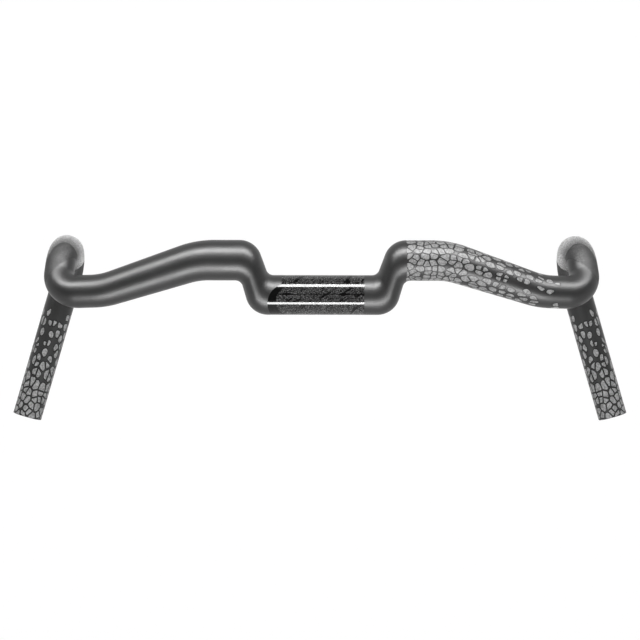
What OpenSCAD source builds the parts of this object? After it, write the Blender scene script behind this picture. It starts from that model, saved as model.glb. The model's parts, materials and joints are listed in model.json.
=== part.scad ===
// Gravel drop handlebar: one hollow moulding with a stepped wave in the middle,
// tops that fall away to the corners, and flared drops.
// Millimetres. The origin is the centre of the stem clamp; X runs to the rider's
// right, Y forward and Z up. The two halves are mirror images.

/* [Stem clamp] */
// Outside diameter of the round zone that the stem grips
clamp_diameter = 31.8; // [28:0.1:34]
// Length of that round zone, measured across the bar
clamp_length = 75; // [62:1:90]

/* [Wave] */
// Height of the crests above the clamp
wave_rise = 20.5; // [15:0.1:26]
// Distance of the crests in front of the clamp
wave_forward = 19.9; // [15:0.1:25]
// Outside diameter of the crests
crest_diameter = 32.3; // [28:0.1:38]
// Straight length between the clamp zone and the inner hollow of the riser
riser_clearance = 1.7; // [0.6:0.1:6]
// Distance from foot to head of the riser, across the bar, on its inboard side
riser_inboard_run = 10.3; // [6:0.1:14]
// Distance from foot to head of the riser, across the bar, on its outboard side
riser_outboard_run = 7.9; // [6:0.1:14]
// Distance across the bar between the two feet of the riser
riser_width = 14; // [11:0.1:18]
// Rounding in the two hollows of the riser
riser_hollow_radius = 6; // [4:0.1:7]
// Rounding over the two outer corners of the riser
riser_corner_radius = 17.9; // [12:0.1:20]
// Length of the level crest, from the riser to the middle of the next bend
crest_length = 28.3; // [18:0.1:36]

/* [Tops] */
// Radius of the bend where the top starts to fall
crest_bend_radius = 62.2; // [40:1:80]
// Outside diameter just past that bend
fall_diameter = 30.9; // [26:0.1:34]
// Outside diameter at the foot of the fall, just before the shoulder
ramp_diameter = 27.2; // [24:0.1:32]
// Distance of the shoulder inward from the corner
shoulder_inset = 38.5; // [34:0.1:48]
// Distance of the shoulder in front of the clamp
shoulder_forward = 5.7; // [2:0.1:10]
// Distance of the shoulder below the clamp
shoulder_drop = 3.5; // [0:0.1:8]
// Radius of the bend at the shoulder
shoulder_bend_radius = 66.5; // [40:1:90]
// Outside diameter from the shoulder to the corner
shoulder_diameter = 26.5; // [24:0.1:30]

/* [Hooks] */
// Distance between the corners at the two ends of the tops, centre to centre
bar_width = 428; // [356:1:520]
// Distance of the corner in front of the clamp
corner_forward = 8.5; // [6:0.1:12]
// Distance of the corner below the clamp
corner_drop = 10.8; // [8:0.1:14]
// Radius of the bend at the corner
corner_bend_radius = 18.7; // [16:0.1:23]
// Turn of the hood, in degrees toward the middle of the bar
toe_in = 3.4; // [0:0.1:8]
// Straight length under the hood, between the corner and the hook
hood_length = 5.6; // [2:0.1:20]
// Outside diameter of the hooks and the drops
drop_diameter = 24; // [22:0.1:26]
// Radius of both bends of the hook
hook_radius = 30.1; // [25:0.1:37]
// Straight length at the front of the hook, between its two bends
front_length = 1.5; // [0.5:0.1:12]
// Lean of the front of the hook, in degrees toward the middle of the bar
front_lean = 6; // [0:0.1:12]

/* [Drops] */
// Slope of the drops, in degrees down to the rear
drop_slope = 30; // [10:1:40]
// Flare of the drops, in degrees away from the middle of the bar
flare = 16.1; // [0:0.1:25]
// Straight length of each drop
drop_length = 113.5; // [90:0.5:140]

/* [Wall] */
// Thickness of the moulded wall
wall = 2.2; // [1.6:0.1:3]

/* [Hidden] */
ring_steps = 28;        // corners in each ring of the moulded arm
skin_turn = 9;          // degrees of bend between rings of the outer skin
bore_turn = 18;         // degrees of bend between rings of the bore
crest_lead = 1;         // level length between the riser's last arc and the crest
tuck_depth = 1;         // how far the arm reaches inside the round zones
tuck_inset = 0.5;       // how much thinner its wall is there, on either face
lap = 0.5;              // how far it keeps its full wall short of them
past_end = 1;           // how far the cut for the bore runs out of an open end

clamp_radius = clamp_diameter / 2;
crest_radius = crest_diameter / 2;
drop_radius = drop_diameter / 2;
clamp_end = clamp_length / 2;

// The riser lies in the sloping plane that holds the clamp and both crests.
wave_height = norm([wave_forward, wave_rise]);
wave_up = [0, wave_forward, wave_rise] / wave_height;
wave_through = cross([1, 0, 0], wave_up);

// Heights in that plane, and corners across the bar, of the riser's two edges.
inboard_low = clamp_radius;
inboard_high = wave_height + crest_radius;
outboard_low = -clamp_radius;
outboard_high = wave_height - crest_radius;
inboard_turn = atan2(inboard_high - inboard_low, riser_inboard_run);
outboard_turn = atan2(outboard_high - outboard_low, riser_outboard_run);
inboard_foot = clamp_end + riser_clearance + riser_hollow_radius * tan(inboard_turn / 2);
inboard_head = inboard_foot + riser_inboard_run;
outboard_foot = inboard_foot + riser_width;
outboard_head = outboard_foot + riser_outboard_run;

// Where both edges have turned level, and the crest begins.
crest_start = crest_lead + max(
    inboard_head + riser_corner_radius * tan(inboard_turn / 2),
    outboard_head + riser_hollow_radius * tan(outboard_turn / 2));

// Ways in which the tube runs at the hood, down the front of the hook and
// along the drop.
hood_way = [-sin(toe_in), cos(toe_in), 0];
front_way = [-sin(front_lean), cos(front_lean) * sin(drop_slope),
    -cos(front_lean) * cos(drop_slope)];
drop_way = [sin(flare), -cos(flare) * cos(drop_slope), -cos(flare) * sin(drop_slope)];

// Corners of the centre line from the crest to the open end.
crest_end = in_wave([crest_start + crest_length, wave_height]);
corner = [bar_width / 2, corner_forward, -corner_drop];
shoulder = [corner.x - shoulder_inset, shoulder_forward, -shoulder_drop];
hook_top = corner + hood_way * (hood_length
    + setback(unit(corner - shoulder), hood_way, corner_bend_radius)
    + setback(hood_way, front_way, hook_radius));
hook_front = hook_top + front_way * (front_length
    + setback(hood_way, front_way, hook_radius)
    + setback(front_way, drop_way, hook_radius));
open_end = hook_front + drop_way * (drop_length
    + setback(front_way, drop_way, hook_radius));

// With each corner go the radius of the bend there and the outside diameter of
// the tube going into and out of it.
path = [in_wave([crest_start, wave_height]), crest_end, shoulder, corner, hook_top,
    hook_front, open_end];
bend_radii = [0, crest_bend_radius, shoulder_bend_radius, corner_bend_radius,
    hook_radius, hook_radius];
tube_in = [crest_diameter, crest_diameter, ramp_diameter, shoulder_diameter,
    drop_diameter, drop_diameter];
tube_out = [crest_diameter, fall_diameter, shoulder_diameter, drop_diameter,
    drop_diameter, drop_diameter];
last_bend = len(bend_radii) - 1;
drop_start = open_end - drop_way * (drop_length - lap);

function unit(v) = v / norm(v);

// A point given across the bar and up the wave plane, as a point in space.
function in_wave(p) = [p.x, 0, 0] + wave_up * p.y;

// Length that an arc of radius r cuts off the corner between two ways.
function setback(into, out, r) = r * tan(acos(into * out) / 2);

// Stations on the arc of radius r that rounds the corner b of the path a-b-c:
// each is a point, the way the path runs there and the share of the turn done.
function rounded(a, b, c, r, turn_step) =
    let (into = unit(b - a), out = unit(c - b), angle = acos(into * out),
        first = b - into * setback(into, out, r),
        inward = unit(out - (out * into) * into),
        steps = ceil(angle / turn_step))
    [for (i = [0 : steps])
        let (t = angle * i / steps)
        [first + into * r * sin(t) + inward * r * (1 - cos(t)),
            into * cos(t) + inward * sin(t), i / steps]];

// A value a share t of the way from one size to another, and the same eased at
// both ends.
function between(from, to, t) = from + (to - from) * t;
function eased(from, to, t) = between(from, to, t * t * (3 - 2 * t));

// A ring is a centre and two half axes: across, in the plane of the bend, and
// through, square to it.

// One edge of the riser as seen square on to the wave plane, from the clamp to
// the crest: low and high are its heights there, foot and head its corners.
function rail(low, high, foot, head, foot_radius, head_radius, turn_step) =
    let (a = [clamp_end - tuck_depth, low], b = [foot, low],
        c = [head, high], d = [crest_start, high])
    concat(
        [a, [clamp_end + lap, low]],
        [for (s = rounded(a, b, c, foot_radius, turn_step)) s[0]],
        [for (s = rounded(b, c, d, head_radius, turn_step)) s[0]],
        [d]);

// Rings of the riser: ovals that touch both edges, as deep as the tube they join.
// The steeper edge sets the step, so that both have as many points.
function riser_rings(turn_step) =
    let (steps = ceil(max(inboard_turn, outboard_turn) / turn_step),
        inboard = rail(inboard_low, inboard_high, inboard_foot, inboard_head,
            riser_hollow_radius, riser_corner_radius, inboard_turn / (steps - 0.5)),
        outboard = rail(outboard_low, outboard_high, outboard_foot, outboard_head,
            riser_corner_radius, riser_hollow_radius, outboard_turn / (steps - 0.5)),
        last = len(inboard) - 1)
    [for (i = [0 : last])
        let (top = in_wave(inboard[i]), bottom = in_wave(outboard[i]))
        [(top + bottom) / 2, (top - bottom) / 2,
            wave_through * eased(clamp_radius, crest_radius, i / last)]];

// Stations of the centre line: a point, the way it runs and the tube's radius.
function stations(turn_step) = [
    for (i = [1 : last_bend],
            s = rounded(path[i - 1], path[i], path[i + 1], bend_radii[i], turn_step))
        [s[0], s[1], between(tube_in[i], tube_out[i], s[2]) / 2],
    [drop_start + drop_way * tuck_depth, drop_way, drop_radius]
];

// Carries the through axis along the stations without twist.
function square_to(axis, way) = unit(axis - (axis * way) * way);
function arm_rings(list) = [
    for (i = 0, t = wave_through; i < len(list);
            i = i + 1, t = i < len(list) ? square_to(t, list[i][1]) : t)
        [list[i][0], cross(t, list[i][1]) * list[i][2], t * list[i][2]]];

function rings(turn_step) =
    concat(riser_rings(turn_step), arm_rings(stations(turn_step)));

// Corners of ring r when both of its half axes are shorter by inset.
function ring_points(r, inset) =
    let (across = r[1] - unit(r[1]) * inset, through = r[2] - unit(r[2]) * inset)
    [for (k = [0 : ring_steps - 1])
        let (t = 360 * k / ring_steps) r[0] + across * cos(t) + through * sin(t)];

// Corners of one face of the wall, drawn in toward its middle at either end.
function face_points(list, inset, tuck) = [
    for (i = [0 : len(list) - 1]) each ring_points(list[i],
        inset + (i == 0 || i == len(list) - 1 ? tuck : 0))];

// Triangles between neighbouring rings, the first of which starts at point from.
function band(from, count) = [
    for (i = [0 : count - 2], k = [0 : ring_steps - 1])
        let (a = from + i * ring_steps + k,
            b = from + i * ring_steps + (k + 1) % ring_steps)
        each [[a, a + ring_steps, b], [b, a + ring_steps, b + ring_steps]]];

// Triangles of a flat end between two rings of points.
function rim(outer, inner) = [
    for (k = [0 : ring_steps - 1])
        let (n = (k + 1) % ring_steps)
        each [[outer + k, outer + n, inner + k], [outer + n, inner + n, inner + k]]];

function turned_over(faces) = [for (f = faces) [f[0], f[2], f[1]]];

// Riser, crest, top, ramp and hook: one wall swept from the clamp to the drop.
module moulded_arm() {
    skin = rings(skin_turn);
    bore = rings(bore_turn);
    inner = len(skin) * ring_steps;
    polyhedron(
        points = concat(face_points(skin, 0, tuck_inset),
            face_points(bore, wall, -tuck_inset)),
        faces = concat(
            band(0, len(skin)),
            turned_over(band(inner, len(bore))),
            rim(0, inner),
            turned_over(rim(inner - ring_steps, inner + (len(bore) - 1) * ring_steps))));
}

// A round open tube from one point to another.
module round_tube(from, to, radius) {
    way = unit(to - from);
    across = square_to(wave_through, way);
    up = cross(way, across);
    multmatrix([
        [across.x, up.x, way.x, from.x],
        [across.y, up.y, way.y, from.y],
        [across.z, up.z, way.z, from.z],
        [0, 0, 0, 1]
    ])
        difference() {
            cylinder(h = norm(to - from), r = radius, $fn = 96);
            translate([0, 0, -past_end])
                cylinder(h = norm(to - from) + 2 * past_end, r = radius - wall, $fn = 96);
        }
}

module handlebar() {
    color("#2a2a2c") {
        round_tube([-clamp_end, 0, 0], [clamp_end, 0, 0], clamp_radius);
        for (side = [0, 1])
            mirror([side, 0, 0]) {
                moulded_arm();
                round_tube(drop_start, open_end, drop_radius);
            }
    }
}

handlebar();
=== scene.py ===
import json
import math

import bmesh
import bpy
from mathutils import Matrix, Vector


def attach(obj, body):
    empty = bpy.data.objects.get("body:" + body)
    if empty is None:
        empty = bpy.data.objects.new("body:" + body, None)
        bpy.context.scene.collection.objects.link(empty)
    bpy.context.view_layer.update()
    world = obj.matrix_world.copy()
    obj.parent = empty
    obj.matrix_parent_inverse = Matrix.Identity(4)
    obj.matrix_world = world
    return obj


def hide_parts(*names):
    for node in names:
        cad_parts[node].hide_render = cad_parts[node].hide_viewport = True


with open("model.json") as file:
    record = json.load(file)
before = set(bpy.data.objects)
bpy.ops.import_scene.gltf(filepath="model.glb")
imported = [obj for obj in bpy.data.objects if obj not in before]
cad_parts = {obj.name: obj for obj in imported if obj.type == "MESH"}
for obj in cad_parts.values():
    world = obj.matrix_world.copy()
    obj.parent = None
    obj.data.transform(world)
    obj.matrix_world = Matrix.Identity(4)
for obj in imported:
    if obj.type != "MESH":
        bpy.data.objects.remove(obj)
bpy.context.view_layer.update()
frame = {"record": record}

# Gravel drop handlebar: the moulded bar with its satin coat, the glossy grain over
# the stem clamp, the pebble print on the right top and on both drops, and the matt
# seats of the levers. Metres, in the frame of the CAD part.

MM = 0.001
mounts = {mount["name"]: mount for mount in frame["record"]["mounts"]}
clamp = mounts["stem_clamp"]
bar_end = mounts["bar_end_right"]

# Outside radius of the tube, from the clamp to the drops
clamp_radius = clamp["dims"]["r_mm"] * MM
crest_radius = 16.15 * MM
fall_radius = 15.45 * MM
ramp_radius = 13.6 * MM
shoulder_radius = 13.25 * MM
drop_radius = 12 * MM
wall = 2.2 * MM

# The riser lies in the sloping plane that holds the clamp and both crests
wave_rise = 20.5 * MM
wave_forward = 19.9 * MM
wave_height = math.hypot(wave_rise, wave_forward)
wave_up = Vector((0, wave_forward, wave_rise)).normalized()
wave_through = Vector((1, 0, 0)).cross(wave_up)
clamp_end = clamp["dims"]["length_mm"] * MM / 2
riser_clearance = 1.7 * MM
riser_inboard_run = 10.3 * MM
riser_outboard_run = 7.9 * MM
riser_width = 14 * MM
hollow_radius = 6 * MM
riser_corner_radius = 17.9 * MM
inboard_turn = math.atan2(wave_height + crest_radius - clamp_radius, riser_inboard_run)
outboard_turn = math.atan2(wave_height - crest_radius + clamp_radius, riser_outboard_run)
inboard_foot = clamp_end + riser_clearance + hollow_radius * math.tan(inboard_turn / 2)
inboard_head = inboard_foot + riser_inboard_run
outboard_foot = inboard_foot + riser_width
outboard_head = outboard_foot + riser_outboard_run
crest_start = MM + max(inboard_head + riser_corner_radius * math.tan(inboard_turn / 2),
                       outboard_head + hollow_radius * math.tan(outboard_turn / 2))

# Corners of the top, and the bends and straights of the hook
crest_length = 28.3 * MM
shoulder = Vector((175.5, 5.7, -3.5)) * MM
corner = Vector((214, 8.5, -10.8)) * MM
crest_bend_radius = 62.2 * MM
shoulder_bend_radius = 66.5 * MM
corner_bend_radius = 18.7 * MM
hook_radius = 30.1 * MM
hood_length = 5.6 * MM
front_length = 1.5 * MM
toe_in = math.radians(3.4)
front_lean = math.radians(6)
drop_slope = math.radians(30)
open_end = Vector(bar_end["pos_m"])
drop_way = Vector(bar_end["axis"]).normalized()

# Fineness of the skin
ring_points = 96
skin_turn = math.radians(2.5)
bore_turn = math.radians(6)
rim_rounding = 0.45 * MM
rim_steps = 4
weld_gap = 0.01 * MM
facing = Vector((0, -0.5, 0.866))
facing_up = Vector((0, 0.866, 0.5))

# Where the finishes change
grain_half = 32.8 * MM
grain_reach = 46 * MM
grain_top = 12 * MM
crescent_tip = -30 * MM
crescent_outside = (Vector((-28.5, -7, 0)) * MM, 15.6 * MM)
crescent_inside = (Vector((-26, -5, 0)) * MM, 11.3 * MM)
print_start = 66.2 * MM
print_loosens = 110 * MM
print_loose = 150 * MM
print_gone = 188 * MM
print_limit = print_gone + 10 * MM
drop_print_loosens = 26 * MM
drop_print_loose = 58 * MM
drop_print_gone = 98 * MM
drop_print_top = -45 * MM
hood_middle = 212 * MM
hood_start = 12 * MM
hook_start = 22 * MM
seat_start = 27 * MM
seat_end = 51 * MM
seat_crown = 3.5 * MM
seat_bow = 0.075 / MM
grit_bottom = -48 * MM

# View: the photograph is 640 pixels square
picture = 640
focal_pixels = 2000
sensor = 36.0
pixels_per_mm = 1.25
look_down = math.radians(60)
look_aside = math.radians(-1.012)
look_roll = math.radians(0.0758)
clamp_pixel = (322.7, 294.985)

# Light: two long strips, each with a dim surround and a lamp for highlights only, over a pale floor
strip_distance = 3.0
lamp_step = 0.02
surround_width = 2.2
surround_glow = 0.3
upper_strip_way = Vector((0, 0.43, 0.903))
upper_strip_size = (6.5, 0.85)
upper_strip_glow = 9.0
upper_strip_shine = 32.0
lower_strip_way = Vector((0, -0.985, 0.17))
lower_strip_size = (2.4, 0.66)
lower_strip_glow = 12.0
lower_strip_shine = 27.0
floor_height = -0.55
floor_size = 40.0
floor_shade = 0.9
floor_roughness = 0.9
floor_glow = 0.9
room_light = 0.3
room_fade_heights = (0.08, 0.4)
room_fade_shades = (1.0, 0.04)


def in_wave(across, height):
    """A point of the wave plane."""
    return Vector((across, 0, 0)) + wave_up * height


def setback(into, out, radius):
    """Length that an arc cuts off the corner between two ways."""
    return radius * math.tan(into.angle(out) / 2)


def rounded(before, point, after, radius, step):
    """Places on the arc that rounds a corner: point, way and share of the turn done."""
    into = (point - before).normalized()
    out = (after - point).normalized()
    angle = into.angle(out)
    axis = into.cross(out).normalized()
    inward = axis.cross(into)
    first = point - into * setback(into, out, radius)
    steps = max(2, math.ceil(angle / step))
    places = []
    for k in range(steps + 1):
        turn = angle * k / steps
        place = first + into * radius * math.sin(turn) + inward * radius * (1 - math.cos(turn))
        places.append((place, Matrix.Rotation(turn, 3, axis) @ into, k / steps))
    return places


def ring(centre, across, through):
    """Carries the unit circle to an oval with these two half axes."""
    way = across.cross(through).normalized()
    matrix = Matrix((across, through, way)).transposed().to_4x4()
    matrix.translation = centre
    return matrix


def rail(low, high, foot, head, foot_radius, head_radius, step):
    """One edge of the riser, seen square on to the wave plane."""
    start = in_wave(clamp_end, low)
    corners = [start, in_wave(foot, low), in_wave(head, high), in_wave(crest_start, high)]
    lower = rounded(*corners[:3], foot_radius, step)
    upper = rounded(*corners[1:], head_radius, step)
    return [start] + [place[0] for place in lower + upper] + [corners[3]]


def riser_rings(inset, step):
    """Ovals that touch both edges of the riser."""
    steps = math.ceil(max(inboard_turn, outboard_turn) / step)
    inboard = rail(clamp_radius, wave_height + crest_radius, inboard_foot, inboard_head,
                   hollow_radius, riser_corner_radius, inboard_turn / (steps - 0.5))
    outboard = rail(-clamp_radius, wave_height - crest_radius, outboard_foot, outboard_head,
                    riser_corner_radius, hollow_radius, outboard_turn / (steps - 0.5))
    rings = []
    for k, (top, bottom) in enumerate(zip(inboard, outboard)):
        half = (top - bottom) / 2
        share = k / (len(inboard) - 1)
        depth = clamp_radius + (crest_radius - clamp_radius) * share * share * (3 - 2 * share)
        across = half.normalized() * (half.length - inset)
        rings.append(ring((top + bottom) / 2, across, wave_through * (depth - inset)))
    return rings


def tube_path():
    """Corners of the centre line from the crest to the open end."""
    crest_end = in_wave(crest_start + crest_length, wave_height)
    top_way = (corner - shoulder).normalized()
    hood_way = Vector((-math.sin(toe_in), math.cos(toe_in), 0))
    front_way = Vector((-math.sin(front_lean), math.cos(front_lean) * math.sin(drop_slope),
                        -math.cos(front_lean) * math.cos(drop_slope)))
    to_hook = setback(hood_way, front_way, hook_radius)
    hook_top = corner + hood_way * (
        hood_length + setback(top_way, hood_way, corner_bend_radius) + to_hook)
    hook_front = hook_top + front_way * (
        front_length + to_hook + setback(front_way, drop_way, hook_radius))
    return [in_wave(crest_start, wave_height), crest_end, shoulder, corner, hook_top,
            hook_front, open_end]


def arm_rings(inset, step):
    """Round rings from the crest through every bend, and the last ring's way through."""
    path = tube_path()
    bends = [(crest_bend_radius, crest_radius, fall_radius),
             (shoulder_bend_radius, ramp_radius, shoulder_radius),
             (corner_bend_radius, shoulder_radius, drop_radius),
             (hook_radius, drop_radius, drop_radius),
             (hook_radius, drop_radius, drop_radius)]
    rings = []
    through = wave_through
    for k, (radius, size_in, size_out) in enumerate(bends):
        for place, way, share in rounded(path[k], path[k + 1], path[k + 2], radius, step):
            through = (through - way * through.dot(way)).normalized()
            size = size_in + (size_out - size_in) * share - inset
            rings.append(ring(place, through.cross(way) * size, through * size))
    return rings, through


def end_ring(back, inset):
    """A ring of the drop, a little back from its open end."""
    through = arm_rings(0, skin_turn)[1]
    size = drop_radius - inset
    return ring(open_end - drop_way * back, through.cross(drop_way) * size, through * size)


def clamp_ring(across, inset):
    """A ring of the round clamp zone."""
    size = clamp_radius - inset
    return ring(Vector((across, 0, 0)), wave_up * size, wave_through * size)


def wall_sections(kind, inset, step):
    """Rings of one face of the wall, from the middle of the bar outward."""
    rings = [clamp_ring(0, inset), clamp_ring(grain_half, inset)]
    rings += riser_rings(inset, step) + arm_rings(inset, step)[0]
    return [(matrix, kind) for matrix in rings]


def bar_sections():
    """Rings over the skin, round the cut end and back through the bore to the middle."""
    sections = wall_sections("skin", 0, skin_turn)
    quarter = [math.pi / 2 * k / rim_steps for k in range(rim_steps + 1)]
    for angle in quarter:
        back = rim_rounding * (1 - math.sin(angle))
        inset = rim_rounding * (1 - math.cos(angle))
        sections.append((end_ring(back, inset), "cut_end"))
    for angle in reversed(quarter):
        back = rim_rounding * (1 - math.sin(angle))
        inset = wall - rim_rounding * (1 - math.cos(angle))
        sections.append((end_ring(back, inset), "bore"))
    return sections + wall_sections("bore", wall, bore_turn)[::-1]


def skin_finish(spot):
    """Which finish the skin has where the middle of a face lies."""
    from_end = (open_end - Vector((abs(spot.x), spot.y, spot.z))).dot(drop_way)
    beside_grain = -grain_reach < spot.x < 0 and spot.dot(facing) > 0
    if abs(spot.x) < grain_half or beside_grain and spot.dot(facing_up) < grain_top:
        return "clamp_grain"
    on_hook = spot.y > hook_start or spot.y > hood_start and abs(spot.x) > print_limit
    if abs(spot.x) > print_gone and on_hook:
        return "lever_seat"
    if from_end < drop_print_gone + drop_radius and spot.z < drop_print_top:
        return "drop_print"
    if crest_start / 2 < spot.x < print_limit:
        return "top_print"
    return "satin"


def along_lengths(sections):
    """Length of the centre line from the middle of the bar to each ring."""
    centres = [matrix.translation for matrix, kind in sections]
    lengths = [0.0]
    for here, there in zip(centres, centres[1:]):
        lengths.append(lengths[-1] + (there - here).length)
    return lengths


def along_where(across):
    """Length of the centre line from the middle of the bar out to a place across it."""
    skin = wall_sections("skin", 0, skin_turn)
    lengths = along_lengths(skin)
    for k in range(1, len(skin)):
        here, there = skin[k - 1][0].translation.x, skin[k][0].translation.x
        if there > across:
            return lengths[k - 1] + (lengths[k] - lengths[k - 1]) * (across - here) / (there - here)


def angle_round(matrix, back, spot):
    """Angle of a spot round its ring, from the side that faces the camera."""
    own = back @ spot
    across, through = matrix.col[0].xyz.normalized(), matrix.col[1].xyz.normalized()
    angle = math.atan2(own.y, own.x) - math.atan2(facing.dot(through), facing.dot(across))
    return math.remainder(angle, 2 * math.pi)


def unroll(face, layer, here, there, new_corners):
    """Writes how far along and how far round the tube each corner of a face lies."""
    rings = [there if loop.vert in new_corners else here for loop in face.loops]
    angles = [angle_round(matrix, back, loop.vert.co)
              for (matrix, back, length), loop in zip(rings, face.loops)]
    if max(angles) - min(angles) > math.pi:
        angles = [angle % (2 * math.pi) for angle in angles]
    for loop, (matrix, back, length), angle in zip(face.loops, rings, angles):
        size = (matrix.col[0].xyz.length + matrix.col[1].xyz.length) / 2
        loop[layer].uv = (length, angle * size)


def swept_bar(sections, finish_order):
    """Carries one circle along the rings, then mirrors the half to the other side."""
    mesh = bmesh.new()
    layer = mesh.loops.layers.uv.new("unrolled")
    bmesh.ops.create_circle(mesh, segments=ring_points, radius=1, matrix=sections[0][0])
    edges = mesh.edges[:]
    kinds = sorted({kind for matrix, kind in sections})
    rings = [(matrix, matrix.inverted(), length)
             for (matrix, kind), length in zip(sections, along_lengths(sections))]
    for here, there, (matrix, kind) in zip(rings, rings[1:], sections):
        grown = bmesh.ops.extrude_edge_only(mesh, edges=edges)["geom"]
        corners = [part for part in grown if isinstance(part, bmesh.types.BMVert)]
        edges = [part for part in grown if isinstance(part, bmesh.types.BMEdge) and part.is_boundary]
        bmesh.ops.transform(mesh, matrix=there[0] @ here[1], verts=corners)
        for part in grown:
            if isinstance(part, bmesh.types.BMFace):
                part.material_index = kinds.index(kind)
                part.smooth = True
                unroll(part, layer, here, there, set(corners))
    half = mesh.verts[:] + mesh.edges[:] + mesh.faces[:]
    bmesh.ops.mirror(mesh, geom=half, matrix=Matrix.Identity(4), merge_dist=weld_gap, axis="X")
    bmesh.ops.remove_doubles(mesh, verts=mesh.verts[:], dist=weld_gap / 4)
    bmesh.ops.recalc_face_normals(mesh, faces=mesh.faces[:])
    for face in mesh.faces:
        kind = kinds[face.material_index]
        finish = skin_finish(face.calc_center_median()) if kind == "skin" else kind
        face.material_index = finish_order.index(finish)
    return mesh


class Finish:
    """A material, and the nodes that are put into it one after another."""

    def __init__(self, name):
        self.material = bpy.data.materials.new(name)
        self.material.use_nodes = True
        self.tree = self.material.node_tree
        self.coat = self.tree.nodes["Principled BSDF"]

    def add(self, kind, inputs, **settings):
        made = self.tree.nodes.new(kind)
        for name, value in settings.items():
            setattr(made, name, value)
        for name, value in inputs.items():
            self.put(made.inputs[name], value)
        return made

    def put(self, socket, value):
        if isinstance(value, bpy.types.NodeSocket):
            self.tree.links.new(value, socket)
        else:
            socket.default_value = value

    def math(self, operation, a, b=0.0, c=0.0):
        return self.add("ShaderNodeMath", {0: a, 1: b, 2: c}, operation=operation).outputs[0]

    def times(self, a, b):
        return self.math("MULTIPLY", a, b)

    def plus(self, a, b):
        return self.math("ADD", a, b)

    def minus(self, a, b):
        return self.math("SUBTRACT", a, b)

    def ramp(self, value, low, high, to_low=0.0, to_high=1.0):
        inputs = {"Value": value, "From Min": low, "From Max": high,
                  "To Min": to_low, "To Max": to_high}
        made = self.add("ShaderNodeMapRange", inputs, interpolation_type="SMOOTHSTEP")
        return made.outputs["Result"]

    def vary(self, noise, least, most):
        """Spreads a noise, most of which lies between 0.3 and 0.7, over a range."""
        return self.ramp(noise, 0.3, 0.7, least, most)

    def mix(self, share, a, b):
        made = self.add("ShaderNodeMix", {"Factor": share, "A": a, "B": b}, data_type="FLOAT")
        return made.outputs[0]

    def place(self):
        return self.add("ShaderNodeTexCoord", {}).outputs["Object"]

    def parts(self, place):
        """The distance from the middle of the bar, and the forward and upward places."""
        made = self.add("ShaderNodeSeparateXYZ", {"Vector": place})
        return self.math("ABSOLUTE", made.outputs["X"]), made.outputs["Y"], made.outputs["Z"]

    def noise(self, place, scale, detail=2.0):
        inputs = {"Vector": place, "Scale": scale, "Detail": detail}
        return self.add("ShaderNodeTexNoise", inputs).outputs["Fac"]

    def grey(self, value):
        inputs = {"Red": value, "Green": value, "Blue": value}
        return self.add("ShaderNodeCombineColor", inputs).outputs["Color"]

    def bump(self, height, depth):
        inputs = {"Strength": 1.0, "Distance": depth, "Height": height}
        return self.add("ShaderNodeBump", inputs).outputs["Normal"]

    def set(self, **values):
        for name, value in values.items():
            self.put(self.coat.inputs[name.replace("_", " ").title().replace("Ior", "IOR")], value)


# Satin clear coat over black laminate
satin_shade = 0.013
satin_roughness = 0.41
satin_shine = 0.4
fleck_scale = 2600
fleck_shares = (0.6, 1.5)
fleck_depth = 0.03 * MM
cloud_scale = 60
cloud_change = 0.02


def satin_parts(finish, place):
    """Shade, roughness and relief of the bare satin coat."""
    fleck = finish.noise(place, fleck_scale, 3.0)
    cloud = finish.noise(place, cloud_scale)
    shade = finish.times(finish.vary(fleck, *fleck_shares), satin_shade)
    roughness = finish.vary(cloud, satin_roughness - cloud_change, satin_roughness + cloud_change)
    return shade, roughness, finish.bump(fleck, fleck_depth)


def satin():
    finish = Finish("satin_carbon")
    shade, roughness, relief = satin_parts(finish, finish.place())
    finish.set(base_color=finish.grey(shade), roughness=roughness, normal=relief,
               specular_ior_level=satin_shine)
    return finish.material


# Pebble print under the satin coat: one pebble in each cell of the unrolled tube
cells_along = 165
loose_cells_along = 115
cells_round = 210
cell_shift = 40.0
cell_randomness = 0.9
cell_wobble = 0.0016
wobble_scale = 170
tight_gap = 0.075
drop_tight_gap = 0.11
loose_gap = 0.13
least_spread = 0.5
tight_limit = 0.62
loose_limit = 0.43
limit_slope = 0.8
limit_blend = 0.16
pebble_edge = (-0.01, 0.025)
line_edge = (-0.11, -0.01)
pebbles_missing = 0.55

# Colours of the print
pebble_shade = 0.25
pebble_speckle_scale = 700
pebble_speckle_shares = (0.6, 1.4)
line_share = 0.2
line_shine = 0.3
print_roughness = 0.5


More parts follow.
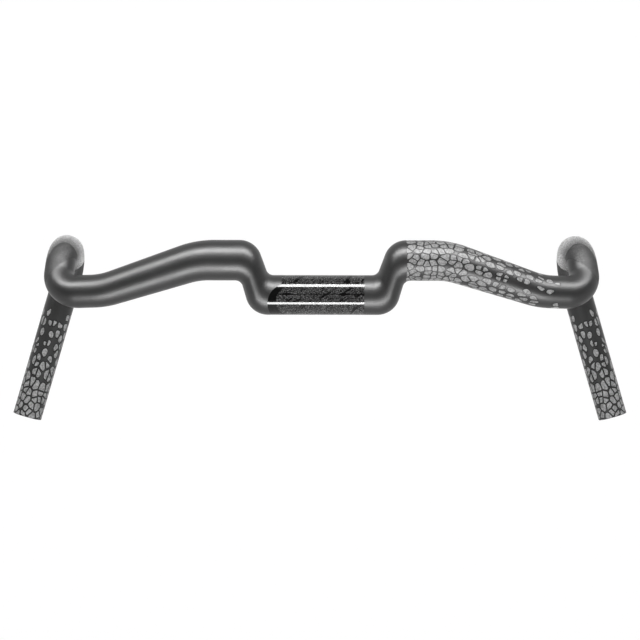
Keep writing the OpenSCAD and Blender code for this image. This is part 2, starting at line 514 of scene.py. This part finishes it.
def pebbles(finish, begin, turn, stages, gap_at_first):
    """Shares of pebble and of the dark line round it, on the unrolled tube. The print runs
    from a length along it, one way or the other, and loosens in stages."""
    tight = stages[0]
    loosens, loose, gone = [tight * cells_along + (length - tight) * loose_cells_along
                            for length in stages]
    sheet = finish.add("ShaderNodeUVMap", {}, uv_map="unrolled").outputs[0]
    drift = finish.add("ShaderNodeTexNoise", {"Vector": sheet, "Scale": wobble_scale, "Detail": 1.0})
    centred = finish.add("ShaderNodeVectorMath", {0: drift.outputs["Color"],
                                                  1: (0.5, 0.5, 0.5)}, operation="SUBTRACT")
    pushed = finish.add("ShaderNodeVectorMath", {0: centred.outputs[0], 1: (cell_wobble,) * 3,
                                                 2: sheet}, operation="MULTIPLY_ADD")
    made = finish.add("ShaderNodeSeparateXYZ", {"Vector": pushed.outputs[0]})
    length = finish.times(finish.minus(made.outputs["X"], begin), turn)
    past = finish.math("MAXIMUM", finish.minus(length, tight), 0)
    cells = finish.math("MULTIPLY_ADD", past, loose_cells_along - cells_along,
                        finish.times(length, cells_along))
    spot = finish.add("ShaderNodeCombineXYZ", {
        "X": cells, "Y": finish.math("MULTIPLY_ADD", made.outputs["Y"], cells_round, cell_shift)})
    cell = {"Vector": spot.outputs[0], "Scale": 1.0, "Randomness": cell_randomness}
    edge = finish.add("ShaderNodeTexVoronoi", cell, feature="DISTANCE_TO_EDGE",
                      voronoi_dimensions="2D").outputs["Distance"]
    seed = finish.add("ShaderNodeTexVoronoi", cell, feature="F1", voronoi_dimensions="2D")
    chances = finish.add("ShaderNodeSeparateColor", {"Color": seed.outputs["Color"]})
    along = finish.add("ShaderNodeSeparateXYZ", {"Vector": seed.outputs["Position"]}).outputs["X"]
    looseness = finish.ramp(along, loosens, loose)
    spread = finish.times(looseness, finish.plus(chances.outputs[1], least_spread))
    gap = finish.math("MULTIPLY_ADD", spread, loose_gap - gap_at_first, gap_at_first)
    limit = finish.mix(looseness, tight_limit, loose_limit)
    inner = finish.times(finish.minus(limit, seed.outputs["Distance"]), limit_slope)
    depth = finish.math("SMOOTH_MIN", finish.minus(edge, gap), inner, limit_blend)
    missing = finish.math("LESS_THAN", chances.outputs[0],
                          finish.ramp(along, (loosens + loose) / 2, gone, 0, pebbles_missing))
    missing = finish.math("MAXIMUM", missing, finish.math("GREATER_THAN", along, gone))
    depth = finish.minus(depth, missing)
    return finish.ramp(depth, *pebble_edge), finish.ramp(depth, *line_edge)


def printed_satin(name, inner_edge, begin, turn, stages, gap_at_first):
    """The satin coat with pebbles printed under it, further from the middle than an edge."""
    finish = Finish(name)
    place = finish.place()
    shade, roughness, relief = satin_parts(finish, place)
    pebble, halo = pebbles(finish, begin, turn, stages, gap_at_first)
    zone = finish.math("GREATER_THAN", finish.parts(place)[0], inner_edge)
    speckle = finish.noise(place, pebble_speckle_scale, 3.0)
    bright = finish.times(finish.vary(speckle, *pebble_speckle_shares), pebble_shade)
    ground = finish.times(shade, finish.ramp(halo, 0, 1, 1.0, line_share))
    printed = finish.mix(pebble, ground, bright)
    dull = finish.mix(finish.times(pebble, zone), roughness, print_roughness)
    line = finish.times(zone, finish.minus(halo, pebble))
    finish.set(base_color=finish.grey(finish.mix(zone, shade, printed)), roughness=dull,
               specular_tint=finish.grey(finish.mix(line, 1.0, line_shine)), normal=relief,
               specular_ior_level=satin_shine)
    return finish.material


def top_print():
    begin = along_where(print_start)
    stages = [along_where(across) - begin for across in (print_loosens, print_loose, print_gone)]
    return printed_satin("top_print", print_start, begin, 1, stages, tight_gap)


def drop_print():
    whole = along_lengths(wall_sections("skin", 0, skin_turn) + [(end_ring(0, 0), "skin")])[-1]
    stages = [drop_print_loosens, drop_print_loose, drop_print_gone]
    return printed_satin("drop_print", 0, whole, -1, stages, drop_tight_gap)


# Matt seat of the lever with a painted highlight on its crown, pale grit over the hook with painted
# sheen towards its rim, and a dark line where each begins
seat_slant = 1.05
seat_edge = 0.4 * MM
seat_flank = (2.5 * MM, 7 * MM)
# Shades of the crown and of the flanks: the flanks are dark rough grip, and the crown's lighter shade
# is a painted highlight along the top of the hood
seat_highlit_crown_and_flank_shades = (0.03, 0.01)
seat_grain_scale = 1100
seat_grain_shares = (0.5, 1.6)
seat_blotch_scale = 160
seat_blotch_limits = (0.35, 0.6)
seat_blotch_shares = (0.45, 1.2)
seat_roughness = 0.62
seat_depth = 0.1 * MM
satin_depth_share = 0.2
edge_line = (0.25 * MM, 0.7 * MM)
edge_line_share = 0.35
grit_edge = 1.5 * MM
grit_bottom_edge = 1 * MM
grit_ragged = 0.4 * MM
grit_ragged_scale = 700
# Painted sheen: over this reach the pale grit lightens from its first shade to its second, towards
# the front rim and the sides
grit_sheen_reach = 19 * MM
grit_shades_to_sheen = (0.12, 0.52)
grit_grain_shares = (0.45, 1.55)
grit_roughness = 0.7


def lever_seat():
    """Matt seat of the lever on the hood with a painted highlight along its crown, and pale grit over
    the front of the hook that lightens towards the rim and the sides as painted sheen.
    """
    finish = Finish("lever_seat")
    place = finish.place()
    across, forward, up = finish.parts(place)
    shade, roughness = satin_parts(finish, place)[:2]
    aside = finish.minus(across, hood_middle)
    from_seat = finish.math("MULTIPLY_ADD", aside, seat_slant, forward)
    off_crown = finish.plus(aside, seat_crown)
    bow = finish.times(finish.times(off_crown, off_crown), seat_bow)
    from_grit = finish.plus(forward, bow)
    lines = [finish.ramp(finish.math("ABSOLUTE", finish.minus(value, edge)),
                         *edge_line, edge_line_share, 1)
             for value, edge in ((from_seat, seat_start), (from_grit, seat_end))]
    ragged = finish.vary(finish.noise(place, grit_ragged_scale), -grit_ragged, grit_ragged)
    from_grit = finish.plus(from_grit, ragged)
    seat = finish.ramp(from_seat, seat_start, seat_start + seat_edge)
    above = finish.ramp(finish.plus(up, ragged), grit_bottom, grit_bottom + grit_bottom_edge)
    grit = finish.times(finish.ramp(from_grit, seat_end, seat_end + grit_edge), above)
    grain = finish.noise(place, seat_grain_scale, 3.0)
    blotch = finish.ramp(finish.noise(place, seat_blotch_scale), *seat_blotch_limits,
                         *seat_blotch_shares)
    flank = finish.ramp(finish.math("ABSOLUTE", off_crown), *seat_flank)
    # Painted highlight: the crown of the seat is lighter than its flanks
    seat_shade_and_highlight = finish.times(finish.vary(grain, *seat_grain_shares), finish.mix(flank, *seat_highlit_crown_and_flank_shades))
    seat_shade_and_highlight = finish.times(seat_shade_and_highlight, blotch)
    # Painted sheen: the grit lightens from the seat's edge towards the front rim and the sides
    pale_and_sheen = finish.ramp(from_grit, seat_end, seat_end + grit_sheen_reach, *grit_shades_to_sheen)
    grit_shade_and_sheen = finish.times(finish.vary(grain, *grit_grain_shares), pale_and_sheen)
    tone = finish.mix(grit, finish.mix(seat, shade, seat_shade_and_highlight), grit_shade_and_sheen)
    tone = finish.times(tone, finish.times(*lines))
    dull = finish.mix(grit, finish.mix(seat, roughness, seat_roughness), grit_roughness)
    height = finish.times(grain, finish.mix(seat, satin_depth_share, 1.0))
    finish.set(base_color=finish.grey(tone), roughness=dull, specular_ior_level=satin_shine,
               normal=finish.bump(height, seat_depth))
    return finish.material


# Speckled laminate under the clamp zone's gloss, and a painted dark reflection line along the side
# that faces the camera
grain_speckle_scale = 1300
grain_speckle_limits = (0.42, 0.75)
grain_shades = (0.006, 0.2)
grain_roughness = 0.95
stroke_tilt = -0.6
stroke_stretch = (0.3, 1.6, 1)
stroke_scale = 200
stroke_limits = (0.56, 0.62)
stroke_and_reflection_share = 0.06
# Painted reflection: a dark line of wavering width at mid height, only on the side that faces the
# camera
reflection_line_height = 0.4 * MM
reflection_line_scale = 55
reflection_line_limits = (0.5, 0.7)
reflection_line_widths = (0.35 * MM, 1.5 * MM)
crescent_shade = 0.003
gloss_weight = 0.6
gloss_roughness = 0.05


def clamp_grain():
    """Speckled laminate with dark strokes under a clear gloss, where the stem grips, a gloss-black
    crescent at its left end, and a painted dark reflection along the middle of the side that faces
    the camera."""
    finish = Finish("clamp_grain")
    place = finish.place()
    shade, roughness, relief = satin_parts(finish, place)
    across = finish.add("ShaderNodeSeparateXYZ", {"Vector": place}).outputs["X"]
    height, nearness = [finish.add("ShaderNodeVectorMath", {0: place, 1: tuple(way)},
                                   operation="DOT_PRODUCT").outputs["Value"]
                        for way in (facing_up, facing)]
    spot = finish.add("ShaderNodeCombineXYZ", {"X": across, "Y": height}).outputs[0]
    from_centres = [finish.add("ShaderNodeVectorMath", {0: spot, 1: tuple(centre)},
                               operation="DISTANCE").outputs["Value"]
                    for centre, radius in (crescent_outside, crescent_inside)]
    outside = finish.math("LESS_THAN", from_centres[0], crescent_outside[1])
    inside = finish.math("LESS_THAN", from_centres[1], crescent_inside[1])
    near = finish.math("GREATER_THAN", nearness, 0)
    reach = finish.times(finish.math("LESS_THAN", across, crescent_tip), finish.times(outside, near))
    black = finish.times(reach, finish.minus(1, inside))
    zone = finish.math("MAXIMUM", reach, finish.math("GREATER_THAN", across, -grain_half))
    speckle = finish.noise(place, grain_speckle_scale, 4.0)
    tilted = finish.add("ShaderNodeVectorRotate", {"Vector": spot, "Axis": (0, 0, 1),
                                                   "Angle": stroke_tilt})
    drawn = finish.add("ShaderNodeVectorMath", {0: tilted.outputs[0], 1: stroke_stretch},
                       operation="MULTIPLY").outputs[0]
    strokes = finish.ramp(finish.noise(drawn, stroke_scale), *stroke_limits)
    # Painted reflection: the dark line along the middle of the side that faces the camera, darkened
    # together with the strokes
    width = finish.ramp(finish.noise(place, reflection_line_scale, 1.0), *reflection_line_limits,
                        *reflection_line_widths)
    from_reflection_line = finish.math("ABSOLUTE", finish.minus(height, reflection_line_height))
    painted_reflection_line = finish.math("LESS_THAN", from_reflection_line, width)
    strokes_and_reflection = finish.math("MAXIMUM", finish.times(painted_reflection_line, near), strokes)
    grain = finish.times(finish.ramp(speckle, *grain_speckle_limits, *grain_shades),
                         finish.ramp(strokes_and_reflection, 0, 1, 1, stroke_and_reflection_share))
    tone = finish.mix(zone, shade, finish.mix(black, grain, crescent_shade))
    finish.set(base_color=finish.grey(tone), normal=relief,
               roughness=finish.mix(zone, roughness, grain_roughness),
               coat_weight=finish.times(zone, gloss_weight), coat_roughness=gloss_roughness,
               specular_tint=finish.grey(finish.minus(1, zone)), specular_ior_level=satin_shine)
    return finish.material


# Cut ends and the bare laminate inside the tube
plain_shares = (0.7, 1.4)
plain_depth = 0.05 * MM


def plain(name, shade, roughness, scale):
    """A plain dull surface with a little grain."""
    finish = Finish(name)
    grain = finish.noise(finish.place(), scale, 3.0)
    least, most = [shade * share for share in plain_shares]
    finish.set(base_color=finish.grey(finish.vary(grain, least, most)), roughness=roughness,
               normal=finish.bump(grain, plain_depth))
    return finish.material


def make_bar():
    finishes = {"satin": satin(), "clamp_grain": clamp_grain(), "top_print": top_print(),
                "drop_print": drop_print(), "lever_seat": lever_seat(),
                "cut_end": plain("cut_end", shade=0.012, roughness=0.5, scale=3000),
                "bore": plain("bore_wall", shade=0.02, roughness=0.6, scale=1200)}
    mesh = swept_bar(bar_sections(), list(finishes))
    data = bpy.data.meshes.new("handlebar_skin")
    mesh.to_mesh(data)
    mesh.free()
    for material in finishes.values():
        data.materials.append(material)
    bar = bpy.data.objects.new("handlebar_skin", data)
    bpy.context.scene.collection.objects.link(bar)
    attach(bar, "root")
    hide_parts("handlebar")


def background(tree):
    """1 for rays that see the floor or the room itself, 0 for rays that carry light."""
    path = tree.nodes.new("ShaderNodeLightPath")
    total = path.outputs["Is Camera Ray"]
    for name in ("Is Glossy Ray", "Is Transmission Ray"):
        add = tree.nodes.new("ShaderNodeMath")
        add.operation = "MAXIMUM"
        tree.links.new(total, add.inputs[0])
        tree.links.new(path.outputs[name], add.inputs[1])
        total = add.outputs[0]
    return total


def make_floor():
    """A plain white floor, far enough below the bar for its shadow to be soft."""
    mesh = bmesh.new()
    below = Matrix.Translation((0, 0, floor_height))
    bmesh.ops.create_grid(mesh, x_segments=1, y_segments=1, size=floor_size / 2, matrix=below)
    data = bpy.data.meshes.new("floor")
    mesh.to_mesh(data)
    mesh.free()
    floor = bpy.data.objects.new("floor", data)
    bpy.context.scene.collection.objects.link(floor)
    finish = Finish("white_floor")
    finish.set(base_color=(floor_shade, floor_shade, floor_shade, 1), roughness=floor_roughness)
    seen = finish.times(background(finish.tree), floor_glow)
    glow = finish.add("ShaderNodeEmission", {"Color": (1, 1, 1, 1), "Strength": 1.0})
    mixed = finish.add("ShaderNodeMixShader", {0: seen, 1: finish.coat.outputs[0],
                                               2: glow.outputs[0]})
    finish.tree.links.new(mixed.outputs[0], finish.tree.nodes["Material Output"].inputs["Surface"])
    data.materials.append(finish.material)


def make_strip(name, way, steps_back, size, glow, shine_only=False):
    """A long lamp across the bar, which faces it from a distance. Lamps of one strip are a
    step apart, because lamps in the same plane hide each other."""
    lamp = bpy.data.lights.new(name, "AREA")
    lamp.shape = "RECTANGLE"
    lamp.size, lamp.size_y = size
    lamp.energy = glow * math.pi * size[0] * size[1]
    holder = bpy.data.objects.new(name, lamp)
    bpy.context.scene.collection.objects.link(holder)
    holder.location = way.normalized() * (strip_distance + steps_back * lamp_step)
    holder.rotation_euler = way.to_track_quat("Z", "Y").to_euler()
    holder.visible_diffuse = not shine_only


def make_room():
    """White all round and dark overhead, and dim for the rays that carry light."""
    world = bpy.data.worlds.new("room")
    world.use_nodes = True
    bpy.context.scene.world = world
    tree = world.node_tree
    sky = tree.nodes["Background"]
    way = tree.nodes.new("ShaderNodeTexCoord")
    parts = tree.nodes.new("ShaderNodeSeparateXYZ")
    fade = tree.nodes.new("ShaderNodeMapRange")
    fade.interpolation_type = "SMOOTHSTEP"
    names = ("From Min", "From Max", "To Min", "To Max")
    for name, value in zip(names, room_fade_heights + room_fade_shades):
        fade.inputs[name].default_value = value
    level = tree.nodes.new("ShaderNodeMapRange")
    level.inputs["To Min"].default_value = room_light
    tree.links.new(way.outputs["Generated"], parts.inputs[0])
    tree.links.new(parts.outputs["Z"], fade.inputs["Value"])
    tree.links.new(background(tree), level.inputs["Value"])
    tree.links.new(fade.outputs["Result"], sky.inputs["Color"])
    tree.links.new(level.outputs["Result"], sky.inputs["Strength"])


def make_camera():
    """Looks at the bar from the photograph's place."""
    way = Vector((0, math.cos(look_down), -math.sin(look_down)))
    right = Vector((1, 0, 0))
    up = right.cross(way)
    right, way = (right * math.cos(look_aside) + way * math.sin(look_aside),
                  way * math.cos(look_aside) - right * math.sin(look_aside))
    right, up = (right * math.cos(look_roll) + up * math.sin(look_roll),
                 up * math.cos(look_roll) - right * math.sin(look_roll))
    middle = picture / 2
    back = way * focal_pixels
    aside = right * (clamp_pixel[0] - middle) + up * (middle - clamp_pixel[1])
    lens = bpy.data.cameras.new("camera")
    lens.sensor_width = sensor
    lens.lens = sensor * focal_pixels / picture
    camera = bpy.data.objects.new("camera", lens)
    bpy.context.scene.collection.objects.link(camera)
    turned = Matrix((right, up, -way)).transposed().to_4x4()
    turned.translation = -(back + aside) / pixels_per_mm * MM
    camera.matrix_world = turned
    bpy.context.scene.camera = camera


make_camera()
make_bar()
make_floor()
for name, way, size, glow, shine in (
        ("upper", upper_strip_way, upper_strip_size, upper_strip_glow, upper_strip_shine),
        ("lower", lower_strip_way, lower_strip_size, lower_strip_glow, lower_strip_shine)):
    make_strip(name + "_shine", way, 0, size, shine, shine_only=True)
    make_strip(name + "_strip", way, 1, size, glow)
    make_strip(name + "_surround", way, 2, (size[0], surround_width), surround_glow)
make_room()
bpy.context.scene.view_settings.view_transform = "Standard"
